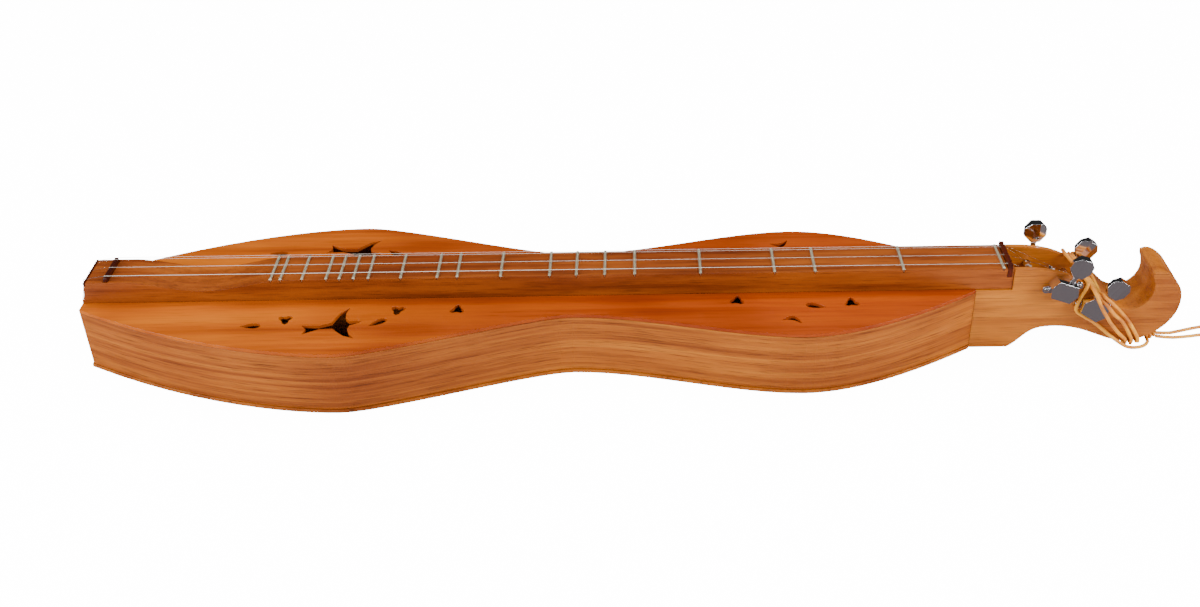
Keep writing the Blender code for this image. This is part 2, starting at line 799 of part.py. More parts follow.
def tuner_frame(side, from_joint, below_top, tilt):
    """Where a tuner sits: its shaft along local X, its face outward along local Z."""
    angle = math.radians(tilt)
    along = Vector((math.cos(angle), 0, math.sin(angle)))
    out = Vector((0, side, 0))
    across = out.cross(along)
    seat = Matrix((along, across, out)).transposed().to_4x4()
    seat.translation = (JOINT_X + from_joint, side * HEAD_HALF, BOARD_TOP - below_top)
    return seat


def tuner_housing(name, seat, hand):
    """The closed housing: a six-sided case with two screw lugs, open towards the wood."""
    half_length, half_flat = TUNER_COVER_LENGTH / 2, TUNER_COVER_FLAT / 2
    half_height = TUNER_COVER_HEIGHT / 2
    case = [
        (0, half_length), (half_height, half_flat), (half_height, -half_flat),
        (0, -half_length), (-half_height, -half_flat), (-half_height, half_flat),
    ]  # fmt: skip
    low = GLUE_GAP
    housing = flat_shape(name, [case], low, low + TUNER_COVER_THICKNESS, CHROME)
    for number, (x, y) in enumerate(TUNER_LUGS):
        bm = bmesh.new()
        bmesh.ops.create_cone(
            bm,
            cap_ends=True,
            segments=16,
            radius1=TUNER_LUG_RADIUS,
            radius2=TUNER_LUG_RADIUS,
            depth=TUNER_LUG_THICKNESS,
        )
        middle = low + TUNER_LUG_THICKNESS / 2
        bmesh.ops.translate(bm, vec=(x, y * hand, middle), verts=bm.verts)
        lug = as_cutter(from_bmesh(f"{name}_lug_{number}", bm, None))
        lug.parent = seat
        cut(housing, lug, "UNION")
    pocket_radius = GEAR_RADIUS + WORM_CLEARANCE
    pocket_top = TUNER_SHAFT_HEIGHT + GEAR_THICKNESS / 2 + WORM_CLEARANCE
    bm = bmesh.new()
    bmesh.ops.create_cone(
        bm,
        cap_ends=True,
        segments=20,
        radius1=pocket_radius,
        radius2=pocket_radius,
        depth=pocket_top + 0.002,
    )
    bmesh.ops.translate(
        bm, vec=(0, TUNER_POST_OFFSET * hand, pocket_top / 2 - 0.001), verts=bm.verts
    )
    pocket = as_cutter(from_bmesh(name + "_gear_pocket", bm, None))
    pocket.parent = seat
    cut(housing, pocket)
    bore_length = WORM_LENGTH + TUNER_COVER_HEIGHT
    bm = bmesh.new()
    bore_radius = max(WORM_RADIUS, SHAFT_RADIUS) + WORM_CLEARANCE
    bmesh.ops.create_cone(
        bm, cap_ends=True, segments=16, radius1=bore_radius, radius2=bore_radius, depth=bore_length
    )
    bmesh.ops.rotate(bm, matrix=Matrix.Rotation(math.pi / 2, 3, "Y"), verts=bm.verts)
    start = -WORM_LENGTH / 2 - WORM_CLEARANCE
    bmesh.ops.translate(
        bm,
        vec=(start + bore_length / 2, -TUNER_WORM_OFFSET * hand, TUNER_SHAFT_HEIGHT),
        verts=bm.verts,
    )
    bore = as_cutter(from_bmesh(name + "_worm_bore", bm, None))
    bore.parent = seat
    cut(housing, bore)
    return housing


def tuner_post(name):
    """The string post with its gear, turned about local Z, which points out of the cheek."""
    gear_top = TUNER_SHAFT_HEIGHT + GEAR_THICKNESS / 2
    gear_low = TUNER_SHAFT_HEIGHT - GEAR_THICKNESS / 2
    tip = -HEAD_HALF - POST_PAST_MIDDLE
    reach = tip + 0.0005
    post = turned(
        name,
        [
            (0, gear_low + 0.0002),
            (POST_RADIUS, gear_low + 0.0002),
            (POST_RADIUS, reach),
            (POST_RADIUS - 0.0005, tip),
            (0, tip),
        ],
        CHROME,
        steps=20,
    )
    outline = []
    for step in range(2 * GEAR_TEETH):
        angle = math.pi * step / GEAR_TEETH
        radius = GEAR_RADIUS - (GEAR_TOOTH_DEPTH if step % 2 else 0.0)
        outline.append((radius * math.cos(angle), radius * math.sin(angle)))
    gear = as_cutter(flat_shape(name + "_gear", [outline], gear_low, gear_top, None))
    gear.parent = post
    cut(post, gear, "UNION")
    bm = bmesh.new()
    bmesh.ops.create_cone(
        bm,
        cap_ends=True,
        segments=8,
        radius1=STRING_HOLE_RADIUS,
        radius2=STRING_HOLE_RADIUS,
        depth=4 * POST_RADIUS,
    )
    bmesh.ops.rotate(bm, matrix=Matrix.Rotation(math.pi / 2, 3, "Y"), verts=bm.verts)
    bmesh.ops.translate(bm, vec=(0, 0, tip + 0.0022), verts=bm.verts)
    hole = as_cutter(from_bmesh(name + "_string_hole", bm, None))
    hole.parent = post
    cut(post, hole)
    return post


def tuner_button(name):
    """The worm, its shaft and the button, turned about local X from the cover's middle."""
    stem_end = BUTTON_FROM_COVER - BUTTON_HEIGHT / 2
    upright = Matrix.Rotation(math.pi / 2, 3, "Y")
    button = turned(
        name,
        [
            (0, stem_end + 0.004),
            (SHAFT_RADIUS, stem_end + 0.004),
            (SHAFT_RADIUS, stem_end - 0.0004),
            (SHAFT_RING_RADIUS, stem_end - 0.0008),
            (SHAFT_RING_RADIUS, stem_end - 0.0018),
            (SHAFT_RADIUS, stem_end - 0.0022),
            (SHAFT_RADIUS, TUNER_COVER_HEIGHT / 2 - 0.001),
            (WORM_RADIUS, TUNER_COVER_HEIGHT / 2 - 0.0015),
            (WORM_RADIUS, -WORM_LENGTH / 2),
            (0, -WORM_LENGTH / 2),
        ],
        CHROME,
        steps=16,
    )
    button.data.transform(Matrix.Rotation(math.pi / 2, 4, "Y"))
    button.modifiers["turned"].axis = "X"
    half_width_, half_height = BUTTON_WIDTH / 2, BUTTON_HEIGHT / 2
    corner = BUTTON_CORNER
    face = [
        (-half_height, half_width_ - corner), (-half_height, corner - half_width_),
        (corner - half_height, -half_width_), (half_height - corner, -half_width_),
        (half_height, corner - half_width_), (half_height, half_width_ - corner),
        (half_height - corner, half_width_), (corner - half_height, half_width_),
    ]  # fmt: skip
    face = [(x + BUTTON_FROM_COVER, y) for x, y in face]
    half_thick = BUTTON_THICKNESS / 2
    paddle = flat_shape(name + "_paddle", [face], -half_thick, half_thick, None)
    band, rim = BUTTON_FLAT_BAND / 2, BUTTON_RIM / 2
    section = [
        (-band, half_thick), (-half_width_ - 0.001, rim), (-half_width_ - 0.001, -rim),
        (-band, -half_thick), (band, -half_thick), (half_width_ + 0.001, -rim),
        (half_width_ + 0.001, rim), (band, half_thick),
    ]  # fmt: skip
    reach = BUTTON_HEIGHT
    roof = flat_shape(name + "_facets", [section], -reach, reach, None)
    lay = Matrix(((0, 0, 1), (1, 0, 0), (0, 1, 0))).to_4x4()
    roof.data.transform(Matrix.Translation((BUTTON_FROM_COVER, 0, 0)) @ lay)
    cut(paddle, as_cutter(roof), "INTERSECT")
    for guide in (as_cutter(paddle), roof):
        guide.parent = button
    cut(button, paddle, "UNION")
    return button


post_places = {}
seats = {}
for name, side, from_joint, below_top, tilt in TUNERS:
    placing = tuner_frame(side, from_joint, below_top, tilt)
    seats[name] = placing
    hand = -side
    seat = bpy.data.objects.new(name + "_seat", None)
    parts.objects.link(seat)
    seat.matrix_world = placing
    housing = tuner_housing(name + "_housing", seat, hand)
    housing.parent = seat
    post = tuner_post(name + "_post")
    post.parent = seat
    post.location = (0, TUNER_POST_OFFSET * hand, 0)
    button = tuner_button(name + "_button")
    button.parent = seat
    button.location = (0, -TUNER_WORM_OFFSET * hand, TUNER_SHAFT_HEIGHT)
    post_axis = placing @ Vector((0, TUNER_POST_OFFSET * hand, 0))
    post_places[name] = post_axis
    hole_radius = POST_RADIUS + POST_HOLE_CLEARANCE
    bm = bmesh.new()
    bmesh.ops.create_cone(
        bm,
        cap_ends=True,
        segments=20,
        radius1=hole_radius,
        radius2=hole_radius,
        depth=4 * CHEEK_THICKNESS,
    )
    bmesh.ops.rotate(bm, matrix=Matrix.Rotation(math.pi / 2, 3, "X"), verts=bm.verts)
    bore = as_cutter(from_bmesh(name + "_post_hole", bm, None))
    bore.location = (post_axis.x, side * HEAD_HALF, post_axis.z)
    cut(headstock, bore)

# The cuts leave a few points a hair apart on the cheeks, which are joined

weld = headstock.modifiers.new("joined_points", "WELD")
weld.merge_threshold = 0.00003

# Hitch pins in the tail block, one for each string

pin_heights = {}
for number, (name, diameter, across, tuner, at_post) in enumerate(STRINGS):
    pin_height = BODY_DEPTH - PINS_BELOW_TOP - PIN_STAGGER * (number % 2)
    pin_heights[name] = pin_height
    pin = turned(
        "hitch_pin_" + name.removeprefix("string_"),
        [
            (0, PIN_PROUD),
            (PIN_HEAD_RADIUS, PIN_PROUD),
            (PIN_HEAD_RADIUS, PIN_PROUD - 0.0006),
            (PIN_RADIUS, PIN_PROUD - 0.0010),
            (PIN_RADIUS, PIN_PROUD - PIN_LENGTH),
            (0, PIN_PROUD - PIN_LENGTH),
        ],
        BRASS,
        steps=12,
        turn=Matrix.Rotation(-math.pi / 2, 3, "Y"),
    )
    pin.location = (TAIL_X, across, pin_height)
    bm = bmesh.new()
    bmesh.ops.create_cone(
        bm,
        cap_ends=True,
        segments=12,
        radius1=PIN_RADIUS + GLUE_GAP,
        radius2=PIN_RADIUS + GLUE_GAP,
        depth=2 * (PIN_LENGTH - PIN_PROUD + GLUE_GAP),
    )
    bmesh.ops.rotate(bm, matrix=Matrix.Rotation(math.pi / 2, 3, "Y"), verts=bm.verts)
    pin_hole = as_cutter(from_bmesh("pin_hole_" + name, bm, None))
    pin_hole.location = (TAIL_X, across, pin_height)
    cut(tail_block, pin_hole)

# Strings: from the hitch pin over the end strip, the bridge, the zero fret and the nut to
# the post, where they wind on


def string_route(name, diameter, across, tuner, at_post):
    radius = diameter / 2
    clear = GLUE_GAP + radius
    strip_top = BOARD_TOP + END_STRIP_ABOVE_BOARD + clear
    loop = (PIN_RADIUS + clear) * 1.1
    pin_height = pin_heights[name]
    drop_x = TAIL_X - BACK_OVERHANG - clear
    route = []
    for step in range(5):
        angle = math.radians(200 + 40 * step)
        route.append(
            Vector((drop_x, across + loop * math.cos(angle), pin_height + loop * math.sin(angle)))
        )
    edge_x = TAIL_X + BOARD_END_SLOPE
    off_edge = clear + 0.0002
    route.append(Vector((drop_x, across, pin_height + 2.4 * loop)))
    route.append(Vector((drop_x, across, BODY_DEPTH - clear)))
    route.append(Vector((edge_x - off_edge, across, BOARD_TOP - 0.0010)))
    route.append(Vector((edge_x - off_edge * 0.8, across, strip_top + 0.0001)))
    route.append(Vector((edge_x + off_edge, across, strip_top + 0.0003)))
    bridge_top = BOARD_TOP + BRIDGE_ABOVE_BOARD + clear
    route.append(Vector((BRIDGE_X - 0.0009, across, bridge_top)))
    route.append(Vector((BRIDGE_X + 0.0009, across, bridge_top)))
    route.append(Vector((ZERO_FRET_X, across, string_height + radius)))
    nut_front = nut_x + NUT_THICKNESS / 2
    route.append(Vector((nut_front + 0.0001, across, string_height + radius + 0.0001)))
    route.append(Vector((BOARD_END_X + 0.0005, across, BOARD_TOP + clear + 0.0002)))
    post = post_places[tuner]
    turn_radius = (POST_RADIUS + clear) / math.cos(math.pi / POINTS_PER_TURN)
    leave = route[-1]
    away = Vector((leave.x - post.x, leave.z - post.z))
    way = -1 if name == WOUND_FROM_BELOW else 1
    start = math.atan2(away.y, away.x) - way * math.acos(turn_radius / away.length)
    count = round(POST_TURNS * POINTS_PER_TURN)
    pitch = (diameter + TURN_CLEARANCE) * math.copysign(1, at_post)
    for step in range(count + 1):
        angle = start - way * 2 * math.pi * step / POINTS_PER_TURN
        route.append(
            Vector(
                (
                    post.x + turn_radius * math.cos(angle),
                    at_post + pitch * step / POINTS_PER_TURN,
                    post.z + turn_radius * math.sin(angle),
                )
            )
        )
    return route


for name, diameter, across, tuner, at_post in STRINGS:
    route = string_route(name, diameter, across, tuner, at_post)
    tube(name, route, diameter, STEEL, resolution=1)

# Lace. Lists of its points beside a tuner: along the shaft from the case's middle, across
# it towards the scroll, and out from the middle of the neck.

OVER_CASE = (
    (0.0120, -0.0118, 0.0240), (0.0108, -0.0088, 0.0292), (0.0090, -0.0052, 0.0327),
    (0.0047, 0.0029, 0.0328), (0.0010, 0.0123, 0.0325), (-0.0015, 0.0184, 0.0308),
)  # fmt: skip
OVER_SHAFT = (
    (0.0102, -0.0046, 0.0274), (0.0098, -0.0010, 0.0307), (0.0097, 0.0025, 0.0319),
    (0.0079, 0.0092, 0.0327), (0.0062, 0.0154, 0.0315),
)  # fmt: skip
BY_BUTTON = (
    (0.0134, -0.0028, 0.0255), (0.0135, -0.0018, 0.0297), (0.0136, 0.0004, 0.0317),
    (0.0136, 0.0027, 0.0321), (0.0129, 0.0065, 0.0310), (0.0108, 0.0158, 0.0287),
)  # fmt: skip

# Its points on the open faces: from the body joint, out from the middle, and up

BEFORE_CASE = (
    (0.0862, 0.0219, 0.0565), (0.0833, 0.0230, 0.0510), (0.0814, 0.0243, 0.0460),
    (0.0802, 0.0250, 0.0420), (0.0812, 0.0250, 0.0380), (0.0880, 0.0240, 0.0326),
    (0.0980, 0.0226, 0.0250), (0.1130, 0.0221, 0.0118), (0.1210, 0.0243, 0.0062),
    (0.1280, 0.0262, 0.0030), (0.1360, 0.0256, 0.0022), (0.1420, 0.0232, 0.0024),
    (0.1455, 0.0197, 0.0032),
)  # fmt: skip
FACE_BELOW_CASE = ((0.1180, 0.0250, 0.0165),)
FACE_BELOW_SHAFT = ((0.1200, 0.0260, 0.0265),)
FACE_BELOW_BUTTON = ((0.1250, 0.0242, 0.0265),)
FAR_FACE_BELOW_CASE = ((0.1100, 0.0250, 0.0220),)
FAR_FACE_BELOW_SHAFT = ((0.1130, 0.0260, 0.0270),)
FAR_FACE_BELOW_BUTTON = ((0.1180, 0.0240, 0.0270),)
FAR_FACE_BARE = ((0.1025, 0.0216, 0.0470), (0.1230, 0.0215, 0.0265))
TAIL_LONG = (
    (0.1610, -0.0072, 0.0032), (0.1690, -0.0052, 0.0018), (0.1820, -0.0012, 0.0018),
    (0.1960, 0.0028, 0.0018), (0.2140, 0.0065, 0.0018), (0.2330, 0.0076, 0.0018),
    (0.2540, 0.0050, 0.0018),
)  # fmt: skip
TAIL_SHORT = (
    (0.1610, -0.0122, 0.0026), (0.1690, -0.0120, 0.0018), (0.1820, -0.0106, 0.0018),
    (0.1940, -0.0085, 0.0018), (0.2100, -0.0075, 0.0018), (0.2300, -0.0095, 0.0018),
    (0.2480, -0.0145, 0.0018),
)  # fmt: skip


def neck_top(x):
    """The height of the neck's upper side between the nut and the scroll."""
    slope = HEAD_UPPERSIDE[:10:-1]
    places = [JOINT_X + dx for dx, dz in slope]
    return float(np.interp(x, places, [BOARD_TOP - dz for dx, dz in slope]))


def neck_bottom(x):
    places = [JOINT_X + dx for dx, dz in HEAD_UNDERSIDE]
    return float(np.interp(x, places, [dz + GLUE_GAP for dx, dz in HEAD_UNDERSIDE]))


def beside_tuner(tuner, side, places):
    seat = seats[tuner]
    along, across = seat.col[0].xyz, seat.col[1].xyz
    made = []
    for t, s, out in places:
        point = seat.translation + along * t + across * side * s
        made.append(Vector((point.x, side * out, point.z)))
    return made


def on_face(side, places):
    return [Vector((JOINT_X + dx, side * out, z)) for dx, out, z in places]


def over_edge(from_joint, side):
    """Two points that take the lace off the neck's upper side, over its edge."""
    x = JOINT_X + from_joint
    top = neck_top(x)
    inner = Vector((x, side * (HEAD_HALF - 0.003), top + LACE_LIE_ON_SLOPE))
    outer = Vector((x, side * (HEAD_HALF + 0.0015), top + 0.8 * LACE_LIE_ON_SLOPE))
    return [inner, outer]


def under_edge(from_joint, side):
    """Three points that take the lace round the neck's lower edge, from the face inward."""
    x = JOINT_X + from_joint
    low = neck_bottom(x)
    return [
        Vector((x, side * (HEAD_HALF + LACE_LIE), low + 0.0020)),
        Vector((x, side * (HEAD_HALF + 0.0022), low - 0.0020)),
        Vector((x, side * (HEAD_HALF - 0.0030), low - 1.1 * LACE_LIE)),
    ]


def near_strand(top, beside, face, bottom):
    strand = over_edge(top, -1) + beside_tuner("tuner_near_rear", -1, beside)
    return strand + on_face(-1, face) + under_edge(bottom, -1)


def far_strand(bottom, face, beside, top):
    strand = over_edge(top, 1) + beside_tuner("tuner_far_rear", 1, beside)
    strand += on_face(1, face) + under_edge(bottom, 1)
    return strand[::-1]


knot_x = JOINT_X + KNOT_FROM_JOINT
knot_start = knot_x - KNOT_LENGTH / 2 - GLUE_GAP
into_knot = KNOT_ACROSS - KNOT_RADIUS - GLUE_GAP
winding = [
    Vector((knot_start, -0.0082, 0.0044)),
    Vector((knot_start - LACE_DIAMETER, -0.0082, 0.0044)),
    Vector((knot_start - 0.0042, -0.0050, 0.0044)),
    Vector((knot_start - 0.0040, 0.0040, 0.0050)),
]
winding += far_strand(0.1400, FAR_FACE_BARE, (), 0.0990)
winding += near_strand(0.0980, BY_BUTTON, FACE_BELOW_BUTTON, 0.1359)
winding += far_strand(0.1334, FAR_FACE_BELOW_BUTTON, BY_BUTTON, 0.0868)
winding += near_strand(0.0940, OVER_SHAFT, FACE_BELOW_SHAFT, 0.1309)
winding += far_strand(0.1286, FAR_FACE_BELOW_SHAFT, OVER_SHAFT, 0.0826)
winding += near_strand(0.0910, OVER_CASE, FACE_BELOW_CASE, 0.1261)
winding += far_strand(0.1238, FAR_FACE_BELOW_CASE, OVER_CASE, 0.0774)
winding += over_edge(0.0875, -1) + on_face(-1, BEFORE_CASE)
winding += [
    Vector((knot_x - 0.003, into_knot - LACE_DIAMETER, KNOT_HEIGHT)),
    Vector((knot_x - 0.003, into_knot, KNOT_HEIGHT)),
]
winding = smooth_route(winding, LACE_POINT_SPACING)
tube("lace_winding", winding, LACE_DIAMETER, LEATHER, resolution=1)

least_gap = min(
    (a - b).length - LACE_DIAMETER
    for i, a in enumerate(winding)
    for b in winding[i + 5 :]
)
print(f"lace {length_of(winding):.3f} m wound, least gap {least_gap * 1000:.2f} mm")

knot = turned(
    "lace_knot",
    [
        (0, KNOT_LENGTH / 2),
        (KNOT_RADIUS - 0.0008, KNOT_LENGTH / 2),
        (KNOT_RADIUS, KNOT_LENGTH / 2 - 0.0012),
        (KNOT_RADIUS, 0.0012 - KNOT_LENGTH / 2),
        (KNOT_RADIUS - 0.0008, -KNOT_LENGTH / 2),
        (0, -KNOT_LENGTH / 2),
    ],
    LEATHER,
    steps=16,
    turn=Matrix.Rotation(math.pi / 2, 3, "Y"),
)
knot.location = (knot_x, KNOT_ACROSS, KNOT_HEIGHT)

knot_end = knot_x + KNOT_LENGTH / 2 + GLUE_GAP
TAILS = (
    ("lace_tail_long", -0.0082, 0.0044, TAIL_LONG),
    ("lace_tail_short", -0.0118, 0.0034, TAIL_SHORT),
)
for name, across, height, places in TAILS:
    route = [Vector((knot_end, across, height))]
    route += [Vector((JOINT_X + dx, y, z)) for dx, y, z in places]
    tube(name, smooth_route(route, 2.5 * LACE_DIAMETER), LACE_DIAMETER, LEATHER)

bpy.context.view_layer.update()
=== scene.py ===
"""Mountain dulcimer: its finishes, its lace and the photograph's view.

Metres, +Z up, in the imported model's frame: X along the strings, +X towards the tuners, the
near side at -Y and the table at Z = 0.
"""

import json
import math

import bpy
import numpy as np
from mathutils import Matrix, Vector


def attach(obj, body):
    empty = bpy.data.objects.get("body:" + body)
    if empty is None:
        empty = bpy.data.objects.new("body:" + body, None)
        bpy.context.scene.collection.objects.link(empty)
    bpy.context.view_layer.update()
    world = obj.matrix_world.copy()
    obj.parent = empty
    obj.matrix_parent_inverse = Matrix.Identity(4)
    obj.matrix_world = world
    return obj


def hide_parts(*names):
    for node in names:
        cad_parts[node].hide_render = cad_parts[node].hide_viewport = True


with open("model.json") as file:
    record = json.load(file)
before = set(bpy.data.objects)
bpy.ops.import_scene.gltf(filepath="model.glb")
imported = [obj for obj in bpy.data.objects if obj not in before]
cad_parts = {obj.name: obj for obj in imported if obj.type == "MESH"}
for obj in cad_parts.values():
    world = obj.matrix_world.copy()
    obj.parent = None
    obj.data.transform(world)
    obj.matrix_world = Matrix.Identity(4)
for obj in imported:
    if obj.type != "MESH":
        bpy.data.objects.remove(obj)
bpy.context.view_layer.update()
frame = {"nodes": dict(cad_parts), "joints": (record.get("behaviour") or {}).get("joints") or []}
nodes = frame["nodes"]
joints = {joint["name"]: joint for joint in frame["joints"]}

# Ribs and back. Two thin ribs of walnut, bent to the outline and glued to a flat walnut back.
# Oil leaves them half matt, mid brown with darker streaks and fine open pores. The ribs' streaks
# follow their bend.

PORES_ALONG = 38
PORES_ACROSS = 1300
FEW_PORES = 30
ALONG_GRAIN = 20
PORE_COLOUR = "3A1A08"
WOOD_EDGE = 0.0006
PAINTED_LIGHT_START = -0.38
PAINTED_LIGHT_END = 0.05


def linear(hex_colour):
    """An sRGB colour written as six hex digits, as linear values."""
    channels = [int(hex_colour[i : i + 2], 16) / 255 for i in (0, 2, 4)]
    values = [c / 12.92 if c <= 0.04045 else ((c + 0.055) / 1.055) ** 2.4 for c in channels]
    return (*values, 1.0)


def add(tree, kind, sockets, **settings):
    """One shader node with its settings, and its sockets linked or set."""
    made = tree.nodes.new("ShaderNode" + kind)
    for name, value in settings.items():
        setattr(made, name, value)
    for name, value in sockets.items():
        if isinstance(value, bpy.types.NodeSocket):
            tree.links.new(value, made.inputs[name])
        else:
            made.inputs[name].default_value = value
    return made


def ramp(tree, factor, stops):
    """A colour ramp from (place, hex colour) stops."""
    made = tree.nodes.new("ShaderNodeValToRGB")
    tree.links.new(factor, made.inputs["Fac"])
    band = made.color_ramp.elements
    while len(band) < len(stops):
        band.new(0.5)
    for element, (place, colour) in zip(band, stops):
        element.position = place
        element.color = linear(colour)
    return made.outputs["Color"]


def new_material(name):
    """A named material, its node tree and its Principled shader."""
    made = bpy.data.materials.new(name)
    made.use_nodes = True
    return made, made.node_tree, made.node_tree.nodes["Principled BSDF"]


def wood(name, bands, stretch, pores, roughness, coat, mirrored=False, glow=None):
    """A planed wood: broad bands of colour, fine dark pores and a rounded edge.

    bands are (place, hex) stops from light to dark. stretch is how many bands a metre has along
    X, Y and Z, so it is low along the grain, and also across a bent or a thin side. glow, when
    given, is a painted light: two hex colours multiplied in along X, the lighter one at the
    tail.
    """
    material, tree, shader = new_material(name)
    place = add(tree, "TexCoord", {}).outputs["Object"]
    if mirrored:
        split = add(tree, "SeparateXYZ", {"Vector": place})
        side = add(tree, "Math", {0: split.outputs["Y"]}, operation="ABSOLUTE")
        place = add(
            tree,
            "CombineXYZ",
            {"X": split.outputs["X"], "Y": side.outputs[0], "Z": split.outputs["Z"]},
        ).outputs["Vector"]
    drawn_out = add(tree, "Mapping", {"Vector": place, "Scale": stretch}).outputs["Vector"]
    wander = add(tree, "TexNoise", {"Vector": place, "Scale": 7.0, "Detail": 2.0})
    bent = add(
        tree, "MixRGB", {"Fac": 0.05, "Color1": drawn_out, "Color2": wander.outputs["Color"]}
    )
    broad = add(
        tree,
        "TexNoise",
        {"Vector": bent.outputs["Color"], "Scale": 1.0, "Detail": 6.0, "Roughness": 0.6},
    ).outputs[0]
    colour = ramp(tree, broad, bands)
    pore_scale = [PORES_ALONG] + [
        FEW_PORES if scale < ALONG_GRAIN else PORES_ACROSS for scale in stretch[1:]
    ]
    pore_place = add(tree, "Mapping", {"Vector": place, "Scale": pore_scale})
    pore = add(
        tree,
        "TexNoise",
        {"Vector": pore_place.outputs["Vector"], "Scale": 1.0, "Detail": 3.0},
    ).outputs[0]
    pore_mask = add(
        tree,
        "MapRange",
        {"Value": pore, "From Min": 0.54, "From Max": 0.70, "To Max": pores},
    ).outputs[0]
    colour = add(
        tree,
        "MixRGB",
        {"Fac": pore_mask, "Color1": colour, "Color2": linear(PORE_COLOUR)},
    ).outputs["Color"]
    cloud = add(tree, "TexNoise", {"Vector": place, "Scale": 9.0, "Detail": 1.0}).outputs[0]
    shade = ramp(tree, cloud, ((0.3, "C6904C"), (0.7, "EFC068")))
    colour = add(
        tree, "MixRGB", {"Fac": 1.0, "Color1": colour, "Color2": shade}, blend_type="MULTIPLY"
    ).outputs["Color"]
    # Painted light along X: a painted highlight towards the tail, fading to a darker, redder
    # painted shade past it.
    if glow:
        along = add(tree, "SeparateXYZ", {"Vector": place}).outputs["X"]
        painted_light_fade = add(
            tree,
            "MapRange",
            {"Value": along, "From Min": PAINTED_LIGHT_START, "From Max": PAINTED_LIGHT_END},
        ).outputs[0]
        tint = ramp(tree, painted_light_fade, ((0.0, glow[0]), (1.0, glow[1])))
        colour = add(
            tree, "MixRGB", {"Fac": 1.0, "Color1": colour, "Color2": tint}, blend_type="MULTIPLY"
        ).outputs["Color"]
    soft_edge = add(tree, "Bevel", {"Radius": WOOD_EDGE}, samples=4).outputs["Normal"]
    relief = add(
        tree,
        "Bump",
        {"Height": pore, "Strength": 0.06, "Distance": 0.0003, "Normal": soft_edge},
    ).outputs["Normal"]
    dull = add(
        tree,
        "MapRange",
        {"Value": broad, "To Min": roughness - 0.05, "To Max": roughness + 0.07},
    ).outputs[0]
    tree.links.new(colour, shader.inputs["Base Color"])
    tree.links.new(relief, shader.inputs["Normal"])
    tree.links.new(dull, shader.inputs["Roughness"])
    shader.inputs["Coat Weight"].default_value = coat
    shader.inputs["Coat Roughness"].default_value = 0.16
    shader.inputs["Specular IOR Level"].default_value = 0.3
    return material


def finish(node_name, material):
    """Gives a CAD node its finish."""
    obj = nodes[node_name]
    obj.data.materials.clear()
    obj.data.materials.append(material)


WALNUT_BANDS = ((0.30, "D09A50"), (0.48, "BC8038"), (0.62, "A06626"), (0.78, "7C4818"))
RIB_WALNUT = wood("oiled_walnut_bent", WALNUT_BANDS, (4, 3, 260), 0.6, 0.42, 0.1)
BACK_WALNUT = wood("oiled_walnut_flat", WALNUT_BANDS, (4, 120, 3), 0.55, 0.42, 0.1)
finish("back", BACK_WALNUT)
for name in ("rib_near", "rib_far"):
    finish(name, RIB_WALNUT)

# Blocks and braces. Bare sawn spruce, glued inside the body: a block at each end to hold the
# ribs, and two bars across each plate. It is pale and matt, with close straight grain.

SPRUCE = wood(
    "bare_spruce",
    ((0.30, "E3C793"), (0.55, "D2B079"), (0.75, "B98F58")),
    (4, 220, 220),
    0.15,
    0.65,
    0.0,
)
for name in ("tail_block", "head_block"):
    finish(name, SPRUCE)
for place in ("lower", "upper"):
    finish("top_brace_" + place, SPRUCE)
    finish("back_brace_" + place, SPRUCE)

# Soundboard. One cherry board, opened like a book and joined under the fingerboard, with the
# sound holes cut through. Lacquer makes it glossy. Painted light runs along it: a painted
# highlight at the tail, fading to a darker, redder painted shade past it.

CHERRY = wood(
    "lacquered_cherry",
    ((0.28, "E9B044"), (0.46, "DC9C30"), (0.60, "C6821F"), (0.78, "9C5C14")),
    (3, 75, 75),
    0.25,
    0.30,
    0.35,
    mirrored=True,
    glow=("FFF0D0", "D8A27C"),
)
for name in ("soundboard_near", "soundboard_far"):
    finish(name, CHERRY)

# Fingerboard. A raised walnut beam glued along the middle, hollowed by the tail for strumming.
# It is darker and redder than the ribs, and worn smooth.

BOARD = wood(
    "fingerboard_walnut",
    ((0.28, "B97C48"), (0.48, "A26637"), (0.62, "854C25"), (0.80, "5E3015")),
    (6, 110, 110),
    0.6,
    0.36,
    0.2,
)
finish("fingerboard", BOARD)

# End strip, bridge and nut. Slips of polished rosewood across the fingerboard, nearly black
# with red streaks. The strings bear on the bridge and the nut.

ROSEWOOD = wood(
    "polished_rosewood",
    ((0.30, "6A302A"), (0.50, "4A1E1B"), (0.70, "2B100F")),
    (90, 8, 90),
    0.5,
    0.30,
    0.25,
)
for name in ("end_strip", "bridge", "nut"):
    finish(name, ROSEWOOD)

# Frets. Lengths of drawn nickel-silver wire, pressed into sawn slots, the first of them the
# zero fret. Their crowns are filed, so they shine softly and a little yellow.


def metal(name, colour, roughness, streaks, edge):
    """A metal with fine handling marks, its edges rounded by edge metres."""
    material, tree, shader = new_material(name)
    place = add(tree, "TexCoord", {}).outputs["Object"]
    marks = add(tree, "TexNoise", {"Vector": place, "Scale": streaks, "Detail": 5.0}).outputs[0]
    rough = add(
        tree,
        "MapRange",
        {"Value": marks, "To Min": roughness * 0.6, "To Max": roughness * 1.5},
    ).outputs[0]
    tint = ramp(tree, marks, ((0.2, colour), (0.9, "FFFFFF")))
    mixed = add(
        tree, "MixRGB", {"Fac": 0.15, "Color1": linear(colour), "Color2": tint}
    ).outputs["Color"]
    soft_edge = add(tree, "Bevel", {"Radius": edge}, samples=4).outputs["Normal"]
    tree.links.new(mixed, shader.inputs["Base Color"])
    tree.links.new(rough, shader.inputs["Roughness"])
    tree.links.new(soft_edge, shader.inputs["Normal"])
    shader.inputs["Metallic"].default_value = 1.0
    return material


